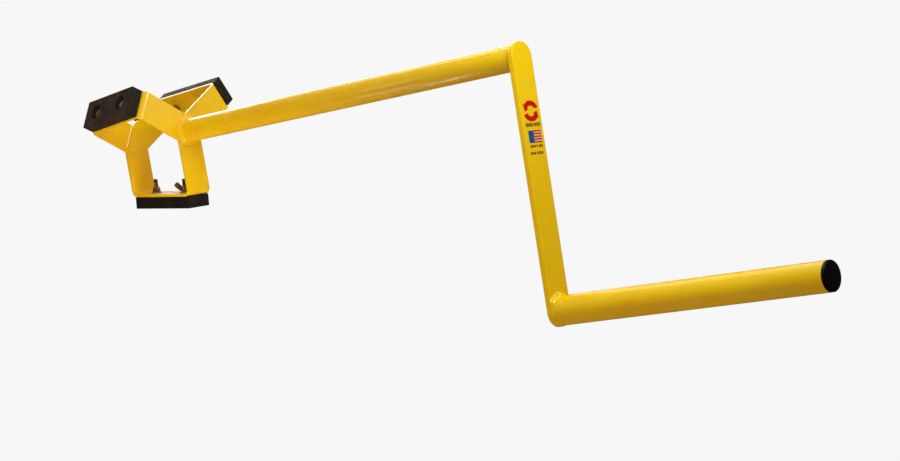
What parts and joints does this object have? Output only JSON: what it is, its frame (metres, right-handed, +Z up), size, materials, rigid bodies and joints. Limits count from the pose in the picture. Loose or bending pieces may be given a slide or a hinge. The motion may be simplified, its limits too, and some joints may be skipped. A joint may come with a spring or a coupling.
{
  "type": "hand crank with padded three-arm head",
  "caption": "Hand crank with a tapered three-arm head; rubber pads bolted to its arms grip the inside of a round bore, and an offset tube handle turns it.",
  "frame": {"origin": "centre of the head's nose face, on the spindle's axis", "axes": "+X along the spindle from the nose towards the handle, +Z up, away from the handle: the crank arm hangs towards -Z"},
  "size_m": [1.3544, 0.251, 0.5002],
  "materials": {
    "yellow_powder_coat": "glossy powder coat",
    "black_rubber": "matt, slightly mottled",
    "zinc_steel": "dull zinc plating",
    "bronze_zinc": "dark yellow passivated zinc",
    "label_film": "printed glossy vinyl film",
    "black_plastic": "moulded, satin"
  },
  "bodies": {
    "root": {"head_bracket_1": "yellow_powder_coat", "rubber_pad_1": "black_rubber", "head_washer_1_nose": "zinc_steel", "pad_bolt_1_nose": "zinc_steel", "head_washer_1_rear": "zinc_steel", "pad_bolt_1_rear": "zinc_steel", "head_bracket_2": "yellow_powder_coat", "rubber_pad_2": "black_rubber", "head_washer_2_nose": "zinc_steel", "pad_bolt_2_nose": "zinc_steel", "head_washer_2_rear": "zinc_steel", "pad_bolt_2_rear": "zinc_steel", "head_bracket_3": "yellow_powder_coat", "rubber_pad_3": "black_rubber", "head_washer_3_nose": "zinc_steel", "pad_bolt_3_nose": "zinc_steel", "head_washer_3_rear": "zinc_steel", "pad_bolt_3_rear": "zinc_steel", "nose_centre_plate": "yellow_powder_coat", "rear_centre_plate": "yellow_powder_coat", "nose_seam_weld": "yellow_powder_coat", "rear_seam_weld": "yellow_powder_coat", "spindle_tube": "yellow_powder_coat", "spindle_head_weld": "yellow_powder_coat", "spindle_arm_weld": "yellow_powder_coat", "crank_arm": "yellow_powder_coat", "handle_arm_weld": "yellow_powder_coat", "handle_tube": "yellow_powder_coat", "upper_label": "label_film", "lower_label": "label_film", "handle_end_plug": "black_plastic"},
    "nut_washer_1_nose": {"nut_washer_1_nose": "zinc_steel"},
    "wing_nut_1_nose": {"wing_nut_1_nose": "bronze_zinc"},
    "nut_washer_1_rear": {"nut_washer_1_rear": "zinc_steel"},
    "wing_nut_1_rear": {"wing_nut_1_rear": "bronze_zinc"},
    "nut_washer_2_nose": {"nut_washer_2_nose": "zinc_steel"},
    "wing_nut_2_nose": {"wing_nut_2_nose": "bronze_zinc"},
    "nut_washer_2_rear": {"nut_washer_2_rear": "zinc_steel"},
    "wing_nut_2_rear": {"wing_nut_2_rear": "bronze_zinc"},
    "nut_washer_3_nose": {"nut_washer_3_nose": "zinc_steel"},
    "wing_nut_3_nose": {"wing_nut_3_nose": "bronze_zinc"},
    "nut_washer_3_rear": {"nut_washer_3_rear": "zinc_steel"},
    "wing_nut_3_rear": {"wing_nut_3_rear": "bronze_zinc"}
  },
  "joints": [
    {"name": "washer_slide_1_nose", "type": "slide", "parent": "root", "child": "nut_washer_1_nose", "axis": [0.1254, -0.8395, -0.5287], "range_m": [0, 0.01411]},
    {"name": "wing_nut_spin_1_nose", "type": "hinge", "parent": "nut_washer_1_nose", "child": "wing_nut_1_nose", "pos_m": [0.0339, 0.07911, 0.04982], "axis": [0.1254, -0.8395, -0.5287], "range_deg": [0, 3600]},
    {"name": "washer_slide_1_rear", "type": "slide", "parent": "root", "child": "nut_washer_1_rear", "axis": [0.1254, -0.8395, -0.5287], "range_m": [0, 0.01411]},
    {"name": "wing_nut_spin_1_rear", "type": "hinge", "parent": "nut_washer_1_rear", "child": "wing_nut_1_rear", "pos_m": [0.10454, 0.08667, 0.05458], "axis": [0.1254, -0.8395, -0.5287], "range_deg": [0, 3600]},
    {"name": "washer_slide_2_nose", "type": "slide", "parent": "root", "child": "nut_washer_2_nose", "axis": [0.1254, 0.8776, -0.4627], "range_m": [0, 0.01411]},
    {"name": "wing_nut_spin_2_nose", "type": "hinge", "parent": "nut_washer_2_nose", "child": "wing_nut_2_nose", "pos_m": [0.0339, -0.0827, 0.0436], "axis": [0.1254, 0.8776, -0.4627], "range_deg": [0, 3600]},
    {"name": "washer_slide_2_rear", "type": "slide", "parent": "root", "child": "nut_washer_2_rear", "axis": [0.1254, 0.8776, -0.4627], "range_m": [0, 0.01411]},
    {"name": "wing_nut_spin_2_rear", "type": "hinge", "parent": "nut_washer_2_rear", "child": "wing_nut_2_rear", "pos_m": [0.10454, -0.0906, 0.04777], "axis": [0.1254, 0.8776, -0.4627], "range_deg": [0, 3600]},
    {"name": "washer_slide_3_nose", "type": "slide", "parent": "root", "child": "nut_washer_3_nose", "axis": [0.1254, -0.0381, 0.9914], "range_m": [0, 0.01411]},
    {"name": "wing_nut_spin_3_nose", "type": "hinge", "parent": "nut_washer_3_nose", "child": "wing_nut_3_nose", "pos_m": [0.0339, 0.00359, -0.09342], "axis": [0.1254, -0.0381, 0.9914], "range_deg": [0, 3600]},
    {"name": "washer_slide_3_rear", "type": "slide", "parent": "root", "child": "nut_washer_3_rear", "axis": [0.1254, -0.0381, 0.9914], "range_m": [0, 0.01411]},
    {"name": "wing_nut_spin_3_rear", "type": "hinge", "parent": "nut_washer_3_rear", "child": "wing_nut_3_rear", "pos_m": [0.10454, 0.00393, -0.10234], "axis": [0.1254, -0.0381, 0.9914], "range_deg": [0, 3600]}
  ],
  "couplings": [
    {"joint": "washer_slide_1_nose", "follows": "wing_nut_spin_1_nose", "m_per_rad": 0.00022459},
    {"joint": "washer_slide_1_rear", "follows": "wing_nut_spin_1_rear", "m_per_rad": 0.00022459},
    {"joint": "washer_slide_2_nose", "follows": "wing_nut_spin_2_nose", "m_per_rad": 0.00022459},
    {"joint": "washer_slide_2_rear", "follows": "wing_nut_spin_2_rear", "m_per_rad": 0.00022459},
    {"joint": "washer_slide_3_nose", "follows": "wing_nut_spin_3_nose", "m_per_rad": 0.00022459},
    {"joint": "washer_slide_3_rear", "follows": "wing_nut_spin_3_rear", "m_per_rad": 0.00022459}
  ]
}
